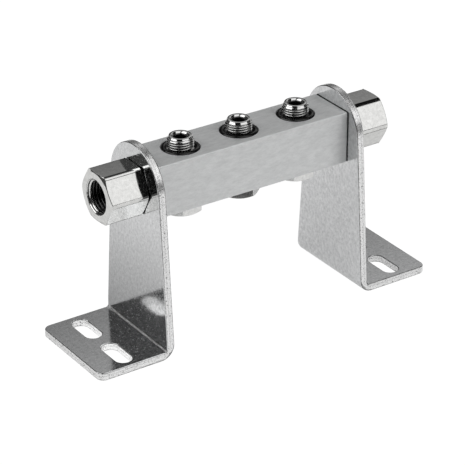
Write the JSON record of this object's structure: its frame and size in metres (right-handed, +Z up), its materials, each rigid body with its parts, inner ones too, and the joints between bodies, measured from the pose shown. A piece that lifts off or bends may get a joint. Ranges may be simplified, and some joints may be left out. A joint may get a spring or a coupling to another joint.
{
  "type": "valve mounting strip",
  "caption": "Square aluminium air rail on folded slotted feet, with hollow threaded bolts and rubber rings along its top for valves and hexagonal threaded ports at its ends.",
  "frame": {"origin": "midway between the two feet, on the plane of their undersides", "axes": "+X along the rail towards its right end, +Z up out of the top face with the valve studs, and the front face looks along -Y"},
  "size_m": [0.1436, 0.0406, 0.0765],
  "materials": {
    "anodised_aluminium": "drawn bar, fine lines along its length",
    "zinc_plated_sheet": "bright zinc plate, smooth and mirror-like",
    "plated_fitting": "bright nickel plate",
    "plated_bolt": "bright nickel plate",
    "black_rubber": "smooth, slightly oiled"
  },
  "bodies": {
    "root": {"rail": "anodised_aluminium", "hollow_bolt_left": "plated_bolt", "valve_ring_left": "black_rubber", "head_ring_left": "black_rubber", "hollow_bolt_middle": "plated_bolt", "valve_ring_middle": "black_rubber", "head_ring_middle": "black_rubber", "hollow_bolt_right": "plated_bolt", "valve_ring_right": "black_rubber", "head_ring_right": "black_rubber", "bracket_left": "zinc_plated_sheet", "end_fitting_left": "plated_fitting", "end_ring_left": "black_rubber", "bracket_right": "zinc_plated_sheet", "end_fitting_right": "plated_fitting", "end_ring_right": "black_rubber"}
  },
  "joints": []
}
